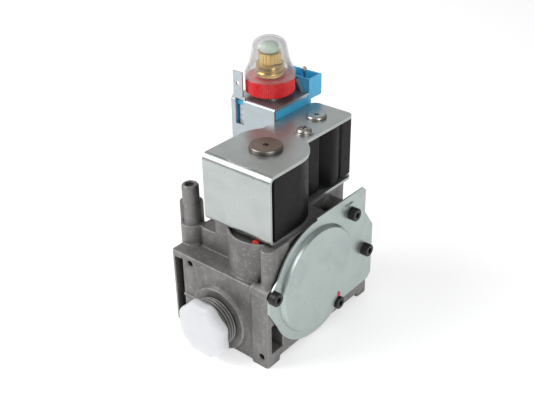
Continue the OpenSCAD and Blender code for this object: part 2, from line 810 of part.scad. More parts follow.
module regulator_screws() {
    color([0.75, 0.75, 0.72])
    for (a = regulator_screw_angles)
        at_mod(servo_z + 3.8) rotate([0, 0, a]) translate([12.6, 0, 0]) difference() {
            union() {
                translate([0, 0, -8]) cylinder(h = 8 + tiny, r = 1.1, $fn = small_fn);
                cylinder(h = 1.6, r = 2, $fn = small_fn);
            }
            for (b = [0, 90]) rotate([0, 0, b]) translate([-1.1, -0.25, 0.8]) cube([2.2, 0.5, 1]);
        }
}

module regulator_pushrod() {
    color("silver")
    at_mod(servo_z + 0.8) {
        cylinder(h = 1, r = 6, $fn = round_fn);
        cylinder(h = armature_z - servo_z - 0.8, r = 1.5, $fn = small_fn);
    }
}

// ---- Modulator ----
window_x = mod_x - 8.9;
tab_w = 6.3;
tab_x = window_x - 1;
window_w = 5.7;
window_h = 14.3;

module modulator_bracket() {
    color([0.76, 0.8, 0.83])
    difference() {
        union() {
            // Front plate, rear plate and top plate, with rounded bends
            translate([mod_x - mod_side / 2, mod_y - mod_side / 2, mod_floor + sheet_t])
                cube([mod_side, sheet_t, mod_top - mod_floor - sheet_t - 1]);
            translate([mod_x - mod_side / 2, mod_y + mod_side / 2 - sheet_t, mod_floor + sheet_t])
                cube([mod_side, sheet_t, mod_top - mod_floor - sheet_t - 1]);
            translate([mod_x - mod_side / 2, mod_y - mod_side / 2 + 1, mod_top - sheet_t])
                cube([mod_side, mod_side - 2, sheet_t]);
            for (s = [-1, 1])
                translate([mod_x - mod_side / 2, mod_y + s * (mod_side / 2 - sheet_t), mod_top - sheet_t])
                    along_x() cylinder(h = mod_side, r = sheet_t, $fn = small_fn);
            // Earth tab with its shoulders, standing in the plane of the front plate
            translate([tab_x, mod_y - mod_side / 2 + 0.3, mod_top - 2]) difference() {
                union() {
                    translate([-tab_w / 2, 0, 0]) cube([tab_w, 0.8, 17]);
                    translate([-tab_w / 2 - 0.8, 0, 0]) cube([tab_w + 2.4, 0.8, 3.4]);
                }
                translate([0, -1, 10.5]) along_y() cylinder(h = 4, r = 1.2, $fn = small_fn);
                for (s = [-1, 1])
                    translate([s * 3.6, -1, 17.6]) rotate([0, 45, 0]) cube([1.6, 6, 1.6], center = true);
            }
            // Leaning lug beside the connector
            translate([mod_x + 11, mod_y + 11.9, mod_top - 1]) rotate([0, -30, 0]) cube([1.1, 2.6, 8]);
        }
        // Room for the bobbin
        translate([mod_x - mod_side / 2 - 1, mod_y - mod_side / 2 + sheet_t, mod_floor])
            cube([mod_side + 2, mod_side - 2 * sheet_t, mod_top - sheet_t - mod_floor]);
        // Window below the earth tab
        translate([window_x - window_w / 2, mod_y - mod_side / 2 - 1, mod_top - window_h])
            cube([window_w, 3, window_h + 0.1]);
        at_mod(mod_top - 5) cylinder(h = 10, r = tube_r + 0.1, $fn = round_fn);
        // Notch for the connector's neck
        translate([mod_x - 5, mod_y + mod_side / 2 - 2.5, mod_top - 10]) cube([20, 5, 8.9]);
    }
}

module modulator_base_plate() {
    color([0.76, 0.8, 0.83])
    at_mod(mod_floor) difference() {
        linear_extrude(sheet_t) round_rect(mod_side, mod_side, 1);
        translate([0, 0, -1]) cylinder(h = 5, r = tube_r, $fn = round_fn);
    }
}

bobbin_side = 28.9;
bobbin_flange = 2.2;
bobbin_wall = 2.2;
bobbin_floor = mod_floor + sheet_t;
bobbin_top = mod_top - sheet_t;
socket_w = 19;
socket_d = 10.7;
socket_h = 11.4;
socket_foot = mod_top - 4.2;
terminal_at = [-2.9, 7.4];

module modulator_bobbin() {
    h = bobbin_top - bobbin_floor;
    inner_d = mod_side - 2 * sheet_t - 0.2;
    color([0.2, 0.6, 0.78])
    difference() {
        union() {
            // Upper and lower flanges, side walls and the winding's tube
            for (z = [bobbin_floor, bobbin_top - bobbin_flange]) at_mod(z) linear_extrude(bobbin_flange)
                square([bobbin_side, inner_d], center = true);
            at_mod(bobbin_floor) linear_extrude(h) for (s = [-1, 1])
                translate([s * (bobbin_side - bobbin_wall) / 2, 0])
                    square([bobbin_wall, inner_d], center = true);
            at_mod(bobbin_floor) cylinder(h = h, r = tube_r + 1.4, $fn = round_fn);
            // Neck and connector housing
            translate([mod_x - 4.6, mod_y + inner_d / 2 - 0.3, mod_top - 9.6]) cube([socket_w, 3.6, 8.1]);
            translate([mod_x - 4.6, mod_y + mod_side / 2 + 0.1, socket_foot])
                cube([socket_w, socket_d, socket_h]);
        }
        at_mod(bobbin_floor - 1) cylinder(h = h + 2, r = tube_r, $fn = round_fn);
        translate([mod_x - 3.6, mod_y + mod_side / 2 + 1.1, mod_top])
            cube([socket_w - 2, socket_d - 2, socket_h]);
        // Slots that the terminals stand in
        for (x = terminal_at)
            translate([mod_x + x - 0.4, mod_y + mod_side / 2 + 4.2, mod_top - 1.6]) cube([0.8, 1.6, 3]);
    }
}

module modulator_winding() {
    color([0.86, 0.85, 0.9])
    at_mod(bobbin_floor + bobbin_flange) difference() {
        linear_extrude(bobbin_top - bobbin_floor - 2 * bobbin_flange) round_rect(24.4, 25.4, 3);
        translate([0, 0, -1]) cylinder(h = bobbin_top - bobbin_floor, r = tube_r + 1.4, $fn = round_fn);
    }
}

// Pins with an eyelet at the top
module modulator_terminals() {
    color([0.62, 0.55, 0.5])
    for (x = terminal_at)
        translate([mod_x + x - 0.4, mod_y + mod_side / 2 + 5, mod_top - 1.6]) difference() {
            union() {
                translate([0, -0.8, 0]) cube([0.8, 1.6, 11]);
                translate([0, 0, 11.4]) along_x() cylinder(h = 0.8, r = 1.6, $fn = small_fn);
            }
            translate([-1, 0, 11.4]) along_x() cylinder(h = 3, r = 0.7, $fn = small_fn);
        }
}

module modulator_tube() {
    color("silver") at_mod(mod_floor - 6) tube(tube_r, tube_in, tube_end - mod_floor + 6);
}

module modulator_armature() {
    color("lightgray")
    at_mod(armature_z) difference() {
        cylinder(h = 14, r = tube_in - 0.1, $fn = round_fn);
        translate([0, 0, 11]) cylinder(h = 5, r = 3.4, $fn = small_fn);
    }
}

spring_foot = armature_z + 11;
seat_foot = 107;

module modulator_spring() {
    color("darkgray") at_mod(spring_foot + 0.5)
        spring(2.7, 0.4, seat_foot - spring_foot - 1, 6, 6, 16);
}

module spring_seat() {
    color("goldenrod")
    at_mod(seat_foot) {
        cylinder(h = 2, r = tube_in - 0.1, $fn = round_fn);
        cylinder(h = 4, r = 1.8, $fn = small_fn);
    }
}

shank_foot = seat_foot + 4;
flange_z = ring_top + 0.5;
hex_z = flange_z + 6.9;
hex_h = 5.6;

// Adjusts the highest gas pressure
module brass_adjuster() {
    color([0.8, 0.66, 0.36])
    at_mod(0) difference() {
        union() {
            translate([0, 0, shank_foot])
                cylinder(h = flange_z - shank_foot + 1, r = tube_in - 0.05, $fn = round_fn);
            rotate_extrude($fn = round_fn)
                polygon([[0, flange_z], [7.6, flange_z], [8, flange_z + 0.5], [7.8, flange_z + 2.5],
                         [7.3, flange_z + 2.9], [7.3, flange_z + 3.2], [7.7, flange_z + 3.6],
                         [7.4, flange_z + 5], [7.1, flange_z + 6.2], [7.1, hex_z], [0, hex_z]]);
            translate([0, 0, hex_z - tiny]) rotate([0, 0, 14]) cylinder(h = hex_h, r = 6.7, $fn = 6);
        }
        translate([0, 0, hex_z - 8]) cylinder(h = 20, r = 2.5, $fn = small_fn);
    }
}

// Adjusts the lowest gas pressure
module minimum_screw() {
    top = hex_z + hex_h;
    color([0.74, 0.82, 0.76])
    at_mod(0) difference() {
        union() {
            translate([0, 0, hex_z - 7]) cylinder(h = 14, r = 2.45, $fn = small_fn);
            rotate_extrude($fn = small_fn)
                polygon([[0, top], [4.3, top], [4.9, top + 0.8], [5, top + 2.2], [4.6, top + 3.6],
                         [3.6, top + 4.8], [2, top + 5.5], [0, top + 5.7]]);
        }
        rotate([0, 0, 42]) translate([-2.6, -0.45, top + 3.6]) cube([5.2, 0.9, 3]);
    }
}

knurl_count = 72;

module ring_nut() {
    color([0.8, 0.13, 0.15])
    at_mod(ring_z) difference() {
        union() {
            translate([0, 0, 0.7]) linear_extrude(ring_h - 1.1)
                polygon([for (k = [0 : 2 * knurl_count - 1])
                    let (a = 180 * k / knurl_count, r = ring_r - (k % 2) * 0.32)
                    [r * cos(a), r * sin(a)]]);
            cylinder(h = 0.8, r1 = ring_r - 1, r2 = ring_r - 0.35, $fn = round_fn);
            translate([0, 0, ring_h - 0.5])
                cylinder(h = 0.5, r1 = ring_r - 0.32, r2 = ring_r - 0.7, $fn = round_fn);
        }
        translate([0, 0, -1]) cylinder(h = ring_h + 2, r = tube_r + 0.05, $fn = round_fn);
    }
}

module transparent_cap() {
    wall = 0.8;
    rim_z = ring_top + 0.1;
    crown = 14.1;
    crown_r = 9.3;
    // Outer profile from the rim up: lip, flare and slightly tapering barrel
    outer = [[cap_rim_r, 0], [cap_rim_r, 1.2], [13.2, 2.6], [12.4, 4.4],
             [11.5, 6.2], [10.7, 8.4], [10, 11], [crown_r, crown]];
    color([0.85, 0.85, 0.87, 0.4])
    at_mod(rim_z) rotate_extrude($fn = round_fn) {
        polygon(concat(outer, [for (k = [7 : -1 : 1]) outer[k] - [wall, 0]], [[cap_rim_r - 1.4, 0]]));
        // Crown, a quarter of a flattened ring
        intersection() {
            translate([0, crown]) difference() {
                dome_section(crown_r, 6.8);
                dome_section(crown_r - wall, 6.8 - wall);
            }
            square([20, 40]);
        }
    }
}

// A quarter ellipse, as a polygon
module dome_section(a, b) {
    steps = 16;
    polygon(concat([[0, 0]], [for (k = [0 : steps]) [a * cos(90 * k / steps), b * sin(90 * k / steps)]]));
}

valve_body();
inlet_filter();
inlet_cap();
test_nipple_screw();
diaphragm_cover();
cover_screws();
main_diaphragm();
diaphragm_plates();
main_valve_stem();
main_valve_seal();
main_valve_spring();
solenoid_bracket();
bracket_screw();
safety_coil();
safety_coil_winding();
safety_coil_bobbin();
safety_core_tube();
safety_fixed_core();
safety_cap_screw();
safety_plunger();
safety_valve_seal();
safety_spring();
safety_tube_o_ring();
pilot_coil();
pilot_coil_winding();
pilot_coil_bobbin();
coil_contacts();
pilot_core_tube();
pilot_fixed_core();
pilot_cap_screw();
pilot_plunger();
pilot_valve_seal();
pilot_spring();
pilot_tube_o_ring();
regulator_diaphragm();
regulator_cover();
regulator_screws();
regulator_pushrod();
modulator_bracket();
modulator_base_plate();
modulator_bobbin();
modulator_winding();
modulator_terminals();
modulator_tube();
modulator_armature();
modulator_spring();
spring_seat();
brass_adjuster();
minimum_screw();
ring_nut();
transparent_cap();
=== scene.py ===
import json
from math import cos, radians, sin, tau

import bmesh
import bpy
from mathutils import Matrix, Vector, noise


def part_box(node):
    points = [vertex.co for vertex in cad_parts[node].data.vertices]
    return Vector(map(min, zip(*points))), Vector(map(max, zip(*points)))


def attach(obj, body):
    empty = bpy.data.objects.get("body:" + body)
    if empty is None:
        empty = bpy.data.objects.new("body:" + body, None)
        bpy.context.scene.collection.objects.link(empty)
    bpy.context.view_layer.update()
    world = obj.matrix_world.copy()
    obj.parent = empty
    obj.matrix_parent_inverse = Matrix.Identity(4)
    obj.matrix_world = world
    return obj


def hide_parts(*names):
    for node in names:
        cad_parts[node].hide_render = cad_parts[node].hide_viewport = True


# Combination gas control: looks. Metres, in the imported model's frame.
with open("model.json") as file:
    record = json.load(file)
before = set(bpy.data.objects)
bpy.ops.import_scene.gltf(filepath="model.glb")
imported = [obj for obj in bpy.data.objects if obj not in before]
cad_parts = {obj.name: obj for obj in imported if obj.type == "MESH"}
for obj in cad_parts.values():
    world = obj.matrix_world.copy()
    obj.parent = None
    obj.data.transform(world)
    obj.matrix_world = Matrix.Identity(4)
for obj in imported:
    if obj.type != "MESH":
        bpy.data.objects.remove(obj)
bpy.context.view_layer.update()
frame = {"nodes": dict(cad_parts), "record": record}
scene = bpy.context.scene
MM = 0.001

# ---------------------------------------------------------------- Camera

PICTURE_WIDTH = 534
FOCAL_PIXELS = 852.3
SENSOR = 36.0
CAMERA_PLACE = (0.2453, -0.2899, 0.2856)
CAMERA_AZIMUTH = radians(40.6)
CAMERA_ELEVATION = radians(30.0)
CAMERA_ROLL = radians(-1.12)


def make_camera():
    azimuth, elevation, roll = CAMERA_AZIMUTH, CAMERA_ELEVATION, CAMERA_ROLL
    right = Vector((cos(azimuth), sin(azimuth), 0))
    forward = Vector((-sin(azimuth) * cos(elevation), cos(azimuth) * cos(elevation), -sin(elevation)))
    up = right.cross(forward)
    rolled_right = right * cos(roll) + up * sin(roll)
    rolled_up = up * cos(roll) - right * sin(roll)
    data = bpy.data.cameras.new("camera")
    data.sensor_width = SENSOR
    data.lens = SENSOR * FOCAL_PIXELS / PICTURE_WIDTH
    data.clip_start = 0.01
    camera = bpy.data.objects.new("camera", data)
    turn = Matrix((rolled_right, rolled_up, -forward)).transposed()
    camera.matrix_world = Matrix.Translation(CAMERA_PLACE) @ turn.to_4x4()
    scene.collection.objects.link(camera)
    scene.camera = camera


# ---------------------------------------------------------------- Materials


# A wave texture of scale 1 repeats after this length
WAVE_PER_UNIT = 0.314


class Finish:
    """One procedural material: a Principled shader and the nodes that drive it. Sizes are metres."""

    def __init__(self, name, colour, roughness, metallic=0.0):
        self.material = bpy.data.materials.new(name)
        self.material.use_nodes = True
        self.tree = self.material.node_tree
        self.shader = self.tree.nodes["Principled BSDF"]
        self.coords = self.tree.nodes.new("ShaderNodeTexCoord").outputs["Object"]
        self.colour = self.constant_colour(colour)
        self.heights = []
        self.set("Metallic", metallic)
        self.set("Roughness", roughness)

    def set(self, name, value):
        self.shader.inputs[name].default_value = value

    def link(self, source, target):
        self.tree.links.new(source, target)

    def constant_colour(self, colour):
        node = self.tree.nodes.new("ShaderNodeRGB")
        node.outputs[0].default_value = (*colour, 1)
        return node.outputs[0]

    def place(self, stretch):
        """Coordinates scaled by stretch, for noise drawn out along an axis."""
        node = self.tree.nodes.new("ShaderNodeMapping")
        node.inputs["Scale"].default_value = stretch
        self.link(self.coords, node.inputs["Vector"])
        return node.outputs["Vector"]

    def noise(self, size, detail=4.0, stretch=(1, 1, 1), distortion=0.0):
        """Cloudy noise whose spots are about size across, from 0 to 1."""
        node = self.tree.nodes.new("ShaderNodeTexNoise")
        self.link(self.place(stretch), node.inputs["Vector"])
        node.inputs["Scale"].default_value = 1 / size
        node.inputs["Detail"].default_value = detail
        node.inputs["Distortion"].default_value = distortion
        return node.outputs["Fac"]

    def cells(self, size):
        """Distance to the nearest of many scattered points, size apart."""
        node = self.tree.nodes.new("ShaderNodeTexVoronoi")
        self.link(self.coords, node.inputs["Vector"])
        node.inputs["Scale"].default_value = 1 / size
        return node.outputs["Distance"]

    def rings(self, spacing, axis, centre):
        """Lines spacing apart: rings round an upright axis for "RINGSZ", bands along the axis for "Z"."""
        move = self.tree.nodes.new("ShaderNodeVectorMath")
        move.operation = "SUBTRACT"
        move.inputs[1].default_value = centre
        self.link(self.coords, move.inputs[0])
        node = self.tree.nodes.new("ShaderNodeTexWave")
        node.wave_type = "RINGS" if axis.startswith("RING") else "BANDS"
        if node.wave_type == "RINGS":
            node.rings_direction = axis[-1]
        else:
            node.bands_direction = axis
        node.inputs["Scale"].default_value = WAVE_PER_UNIT / spacing
        node.inputs["Distortion"].default_value = 0.3
        self.link(move.outputs[0], node.inputs["Vector"])
        return node.outputs["Fac"]

    def painted_pocket_shade(self, reach, low, high):
        """Mask for painted shade: 1 deep inside pockets, 0 on open faces, judged within reach."""
        node = self.tree.nodes.new("ShaderNodeAmbientOcclusion")
        node.inputs["Distance"].default_value = reach
        node.samples = 8
        return self.remap(node.outputs["AO"], high, low)

    def rims(self, reach):
        """1 along sharp edges, 0 further than about reach from them."""
        node = self.tree.nodes.new("ShaderNodeBevel")
        node.samples = 4
        node.inputs["Radius"].default_value = reach
        face = self.tree.nodes.new("ShaderNodeNewGeometry")
        both = self.tree.nodes.new("ShaderNodeVectorMath")
        both.operation = "DOT_PRODUCT"
        self.link(node.outputs["Normal"], both.inputs[0])
        self.link(face.outputs["Normal"], both.inputs[1])
        return self.remap(both.outputs["Value"], 0.97, 0.80)

    def edges(self, low, high):
        """1 on edges that stick out, 0 on flat faces, for finely divided meshes."""
        return self.remap(self.tree.nodes.new("ShaderNodeNewGeometry").outputs["Pointiness"], low, high)

    def painted_crease_shade(self, low, high):
        """Mask for painted shade: 1 in corners that fold in, 0 on flat faces."""
        return self.remap(self.tree.nodes.new("ShaderNodeNewGeometry").outputs["Pointiness"], high, low)

    def remap(self, value, low, high, to_low=0.0, to_high=1.0):
        node = self.tree.nodes.new("ShaderNodeMapRange")
        for name, number in zip(("From Min", "From Max", "To Min", "To Max"), (low, high, to_low, to_high)):
            node.inputs[name].default_value = number
        self.link(value, node.inputs["Value"])
        return node.outputs["Result"]

    def blend(self, factor, colour):
        """Lays another colour over the base where factor is 1."""
        node = self.tree.nodes.new("ShaderNodeMix")
        node.data_type = "RGBA"
        self.link(factor, node.inputs["Factor"])
        self.link(self.colour, node.inputs["A"])
        node.inputs["B"].default_value = (*colour, 1)
        self.colour = node.outputs["Result"]
        return self

    def shine(self, value, low, high):
        """Roughness from low to high as value goes from 0.3 to 0.7."""
        self.link(self.remap(value, 0.3, 0.7, low, high), self.shader.inputs["Roughness"])
        return self

    def relief(self, value, depth):
        self.heights.append((value, depth))
        return self

    def done(self):
        """Joins the colour and the reliefs to the shader."""
        self.link(self.colour, self.shader.inputs["Base Color"])
        normal = None
        for value, depth in self.heights:
            node = self.tree.nodes.new("ShaderNodeBump")
            node.inputs["Strength"].default_value = 1.0
            node.inputs["Distance"].default_value = depth
            self.link(value, node.inputs["Height"])
            if normal is not None:
                self.link(normal, node.inputs["Normal"])
            normal = node.outputs["Normal"]
        if normal is not None:
            self.link(normal, self.shader.inputs["Normal"])
        return self.material


def cast_aluminium():
    f = Finish("cast_aluminium", (0.245, 0.24, 0.235), 0.5, 0.55)
    f.blend(f.remap(f.noise(9 * MM, 6, (1, 1, 0.6), 0.6), 0.42, 0.75), (0.15, 0.145, 0.14))
    f.blend(f.remap(f.noise(1.6 * MM, 5), 0.55, 0.8), (0.36, 0.35, 0.34))
    f.blend(f.remap(f.noise(0.45 * MM, 3), 0.6, 0.85), (0.09, 0.085, 0.08))
    # Painted shade: the colour darkens deep in pockets, where little light reaches.
    f.blend(f.painted_pocket_shade(9 * MM, 0.12, 0.60), (0.045, 0.043, 0.042))
    # Painted shade: the colour darkens in corners that fold in.
    f.blend(f.painted_crease_shade(0.44, 0.49), (0.07, 0.066, 0.062))
    # Lighter along outer edges: partly worn edges, partly a painted highlight.
    f.blend(f.edges(0.52, 0.60), (0.62, 0.61, 0.60))
    f.shine(f.noise(2.5 * MM), 0.42, 0.62)
    return f.relief(f.noise(0.5 * MM, 3), 0.05 * MM).relief(f.noise(3 * MM, 2), 0.10 * MM).done()


def zinc(name, colour, shade, roughness):
    """Bright zinc plate on pressed sheet: satin, with soft clouds, rub marks and small nicks."""
    f = Finish(name, colour, roughness, 0.82)
    f.blend(f.remap(f.noise(16 * MM, 3, distortion=0.8), 0.42, 0.72), shade)
    f.blend(f.remap(f.noise(0.35 * MM, 2), 0.62, 0.9), tuple(0.86 * c for c in shade))
    f.blend(f.remap(f.noise(0.9 * MM, 1), 0.735, 0.76), tuple(0.5 * c for c in shade))
    f.blend(f.rims(0.3 * MM), (0.86, 0.88, 0.88))
    f.shine(f.noise(8 * MM, 2), roughness - 0.02, roughness + 0.02)
    return f.relief(f.noise(0.3 * MM, 3), 0.006 * MM).relief(f.noise(14 * MM, 2), 0.10 * MM).done()


def turned(name, colour, dark, roughness, centre, spacing=0.25 * MM):
    """Turned metal with faint tool rings."""
    f = Finish(name, colour, roughness, 1.0)
    f.blend(f.remap(f.rings(spacing, "RINGSZ", centre), 0.2, 1.0), dark)
    f.blend(f.remap(f.noise(1.2 * MM, 4), 0.6, 0.8), tuple(0.8 * c for c in dark))
    f.blend(f.rims(0.2 * MM), tuple(min(1.0, 1.35 * c) for c in colour))
    f.shine(f.noise(2 * MM), roughness - 0.06, roughness + 0.08)
    return f.relief(f.rings(spacing, "RINGSZ", centre), 0.012 * MM).done()


def drawn_metal(name, colour, dark, roughness):
    """Plain bright metal with fine grain, for wire, pins and small screws."""
    f = Finish(name, colour, roughness, 1.0)
    f.blend(f.remap(f.noise(1.0 * MM, 5), 0.5, 0.8), dark)
    f.blend(f.rims(0.15 * MM), tuple(min(1.0, 1.3 * c) for c in colour))
    f.shine(f.noise(0.8 * MM), roughness - 0.06, roughness + 0.1)
    return f.relief(f.noise(0.3 * MM), 0.008 * MM).done()


def moulded(name, colour, shade, roughness, depth=0.02, glow=0.0, specular=0.5):
    """Moulded plastic: fine grain, slight flow clouds and scuffed edges."""
    f = Finish(name, colour, roughness)
    f.set("Specular IOR Level", specular)
    f.blend(f.remap(f.noise(12 * MM, 3, distortion=0.5), 0.4, 0.75), shade)
    f.blend(f.rims(0.25 * MM), tuple(min(1.0, 1.25 * c + 0.02) for c in colour))
    f.shine(f.noise(3 * MM), roughness - 0.07, roughness + 0.07)
    if glow:
        f.set("Subsurface Weight", glow)
        f.set("Subsurface Radius", (1.0, 1.0, 1.0))
        f.set("Subsurface Scale", 1.5 * MM)
    return f.relief(f.noise(0.25 * MM, 2), depth * MM).done()


def rubber():
    f = Finish("rubber", (0.018, 0.018, 0.018), 0.7)
    f.blend(f.remap(f.noise(2 * MM), 0.5, 0.8), (0.035, 0.034, 0.033))
    f.shine(f.noise(1 * MM), 0.6, 0.8)
    return f.relief(f.noise(0.2 * MM), 0.02 * MM).done()


def black_oxide():
    f = Finish("black_oxide", (0.018, 0.018, 0.019), 0.38, 0.35)
    f.blend(f.remap(f.noise(0.8 * MM, 5), 0.5, 0.85), (0.045, 0.042, 0.04))
    f.blend(f.rims(0.25 * MM), (0.16, 0.16, 0.16))
    f.shine(f.noise(0.6 * MM), 0.3, 0.5)
    return f.relief(f.noise(0.25 * MM), 0.02 * MM).done()


def wound(name, colour, dark, spacing, centre, metallic, roughness):
    """Windings: one band for each turn of wire."""
    f = Finish(name, colour, roughness, metallic)
    turns = f.rings(spacing, "Z", centre)
    f.blend(f.remap(turns, 0.0, 0.45, 1.0, 0.0), dark)
    f.shine(f.noise(2 * MM), roughness - 0.05, roughness + 0.1)
    return f.relief(turns, 0.06 * MM).done()


def gauze():
    f = Finish("stainless_gauze", (0.60, 0.60, 0.60), 0.35, 1.0)
    weave = f.cells(0.5 * MM)
    f.blend(f.remap(weave, 0.35, 0.7), (0.12, 0.12, 0.12))
    f.shine(f.noise(1 * MM), 0.3, 0.45)
    return f.relief(weave, 0.08 * MM).done()


def clear_plastic():
    """Thin clear moulding: see-through face on, whiter and shinier towards its outline."""
    f = Finish("clear_plastic", (0.60, 0.60, 0.60), 0.12)
    f.blend(f.remap(f.noise(6 * MM, 2), 0.4, 0.7), (0.52, 0.53, 0.53))
    facing = f.tree.nodes.new("ShaderNodeLayerWeight")
    facing.inputs["Blend"].default_value = 0.32
    f.link(f.remap(facing.outputs["Facing"], 0.0, 1.0, 0.07, 0.78), f.shader.inputs["Alpha"])
    f.set("IOR", 1.49)
    f.set("Coat Weight", 0.6)
    f.shine(f.noise(2.5 * MM, 3), 0.06, 0.18)
    return f.relief(f.noise(5 * MM, 2), 0.05 * MM).done()


def lacquer():
    f = Finish("sealing_lacquer", (0.72, 0.035, 0.01), 0.25)
    f.blend(f.remap(f.noise(0.6 * MM), 0.4, 0.7), (0.45, 0.02, 0.008))
    f.set("Coat Weight", 0.5)
    return f.relief(f.noise(0.5 * MM), 0.1 * MM).done()


def centre_of(node):
    low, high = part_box(node)
    return (low + high) / 2


def make_materials():
    modulator_axis = centre_of("modulator_tube")
    safety_axis = centre_of("safety_coil_winding")
    pilot_axis = centre_of("pilot_coil_winding")
    copper, copper_gap = (0.62, 0.26, 0.11), (0.20, 0.07, 0.03)
    return {
        "cast": cast_aluminium(),
        "zinc": zinc("zinc_plated_steel", (0.46, 0.49, 0.475), (0.39, 0.42, 0.41), 0.34),
        "cover": zinc("zinc_cover", (0.46, 0.525, 0.505), (0.40, 0.465, 0.45), 0.34),
        "modulator": zinc("zinc_modulator", (0.44, 0.49, 0.515), (0.39, 0.44, 0.465), 0.30),
        "black": moulded("black_plastic", (0.005, 0.005, 0.005), (0.009, 0.008, 0.008), 0.42, 0.03,
                         specular=0.15),
        "white": moulded("white_plastic", (0.77, 0.78, 0.80), (0.73, 0.745, 0.77), 0.42, 0.01, 0.25),
        "blue": moulded("blue_plastic", (0.075, 0.54, 0.88), (0.055, 0.43, 0.74), 0.33, 0.012, 0.1),
        "red": moulded("red_plastic", (0.82, 0.018, 0.024), (0.66, 0.012, 0.018), 0.3, 0.012, 0.08),
        "green": moulded("green_plastic", (0.66, 0.80, 0.68), (0.56, 0.72, 0.58), 0.35, 0.01, 0.2),
        "ivory": moulded("ivory_plastic", (0.78, 0.73, 0.58), (0.70, 0.65, 0.50), 0.45, 0.02),
        "clear": clear_plastic(),
        "rubber": rubber(),
        "oxide": black_oxide(),
        "lacquer": lacquer(),
        "gauze": gauze(),
        "steel": drawn_metal("steel", (0.60, 0.60, 0.59), (0.42, 0.42, 0.41), 0.32),
        "spring": drawn_metal("spring_steel", (0.46, 0.46, 0.47), (0.30, 0.30, 0.31), 0.34),
        "nickel": drawn_metal("nickel", (0.50, 0.48, 0.455), (0.36, 0.34, 0.315), 0.27),
        "tinned": drawn_metal("tinned_copper", (0.66, 0.50, 0.44), (0.50, 0.34, 0.28), 0.28),
        "button": turned("brown_nickel", (0.31, 0.275, 0.25), (0.24, 0.21, 0.19), 0.34,
                         safety_axis, 0.5 * MM),
        "brass": turned("brass", (0.86, 0.62, 0.22), (0.50, 0.32, 0.09), 0.17, modulator_axis),
        "tube_brass": drawn_metal("tube_brass", (0.78, 0.60, 0.28), (0.62, 0.46, 0.20), 0.28),
        "safety_copper": wound("copper", copper, copper_gap, 0.35 * MM, safety_axis, 0.8, 0.3),
        "pilot_copper": wound("copper_fine", copper, copper_gap, 0.3 * MM, pilot_axis, 0.8, 0.3),
        "tape": wound("winding_tape", (0.74, 0.72, 0.80), (0.56, 0.54, 0.64), 3.4 * MM,
                      modulator_axis, 0.0, 0.5),
    }


# Nodes shown with their own mesh, and their finish
NODE_FINISH = {
    "inlet_filter": "gauze",
    "test_nipple_screw": "steel",
    "main_diaphragm": "rubber",
    "diaphragm_plates": "steel",
    "main_valve_stem": "steel",
    "main_valve_seal": "rubber",
    "main_valve_spring": "spring",
    "safety_coil_winding": "safety_copper",
    "safety_coil_bobbin": "ivory",
    "safety_core_tube": "tube_brass",
    "safety_fixed_core": "steel",
    "safety_plunger": "steel",
    "safety_valve_seal": "rubber",
    "safety_spring": "spring",
    "safety_tube_o_ring": "rubber",
    "pilot_coil_winding": "pilot_copper",
    "pilot_coil_bobbin": "ivory",
    "coil_contacts": "nickel",
    "pilot_core_tube": "tube_brass",
    "pilot_fixed_core": "steel",
    "pilot_plunger": "steel",
    "pilot_valve_seal": "rubber",
    "pilot_spring": "spring",
    "pilot_tube_o_ring": "rubber",
    "regulator_diaphragm": "rubber",
    "regulator_pushrod": "steel",
    "modulator_winding": "tape",
    "modulator_armature": "steel",
    "modulator_spring": "spring",
    "spring_seat": "tube_brass",
}

# Nodes whose sharp edges are rounded off: finish and edge radius in millimetres
EDGED = {
    "diaphragm_cover": ("cover", 0.25),
    "cover_screws": ("oxide", 0.22),
    "solenoid_bracket": ("zinc", 0.22),
    "bracket_screw": ("nickel", 0.15),
    "safety_coil": ("black", 0.5),
    "safety_cap_screw": ("button", 0.12),
    "pilot_coil": ("black", 0.5),
    "pilot_cap_screw": ("nickel", 0.12),
    "regulator_cover": ("cast", 0.3),
    "regulator_screws": ("nickel", 0.12),
    "modulator_bracket": ("modulator", 0.18),
    "modulator_base_plate": ("modulator", 0.18),
    "modulator_bobbin": ("blue", 0.22),
    "modulator_terminals": ("tinned", 0.1),
    "modulator_tube": ("steel", 0.15),
    "brass_adjuster": ("brass", 0.18),
    "minimum_screw": ("green", 0.15),
    "ring_nut": ("red", 0.08),
}

# ---------------------------------------------------------------- Pieces

BODY_OF = {node: body for body, nodes in frame["record"]["behaviour"]["bodies"].items() for node in nodes}


def clean_copy(node):
    """A node's mesh with its seams welded and its flat faces made whole."""
    b = bmesh.new()
    b.from_mesh(frame["nodes"][node].data)
    bmesh.ops.remove_doubles(b, verts=b.verts, dist=0.002 * MM)
    bmesh.ops.dissolve_limit(b, angle_limit=radians(0.8), verts=b.verts, edges=b.edges)
    mesh = bpy.data.meshes.new(node + "_mesh")
    b.to_mesh(mesh)
    b.free()
    return mesh


def show(name, mesh, finish, node):
    """Puts a mesh on the body of the node that it stands for."""
    piece = bpy.data.objects.new(name, mesh)
    scene.collection.objects.link(piece)
    mesh.materials.clear()
    mesh.materials.append(materials[finish])
    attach(piece, BODY_OF[node])
    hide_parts(node)
    return piece


def edged(node, finish, radius):
    """The node with its sharp edges rounded, as pressing, moulding and tumbling leave them."""
    mesh = clean_copy(node)
    mesh.shade_smooth()
    piece = show(node + "_part", mesh, finish, node)
    bevel = piece.modifiers.new("rounding", "BEVEL")
    bevel.width = radius * MM
    bevel.segments = 2
    bevel.limit_method = "ANGLE"
    bevel.angle_limit = radians(28)
    bevel.use_clamp_overlap = True
    flatten = piece.modifiers.new("flat faces", "WEIGHTED_NORMAL")
    flatten.weight = 100
    return piece


def evaluated(piece):
    """The piece's mesh with its modifiers applied."""
    bpy.context.view_layer.update()
    graph = bpy.context.evaluated_depsgraph_get()
    return bpy.data.meshes.new_from_object(piece.evaluated_get(graph))


def temporary(name, mesh):
    piece = bpy.data.objects.new(name, mesh)
    scene.collection.objects.link(piece)
    return piece


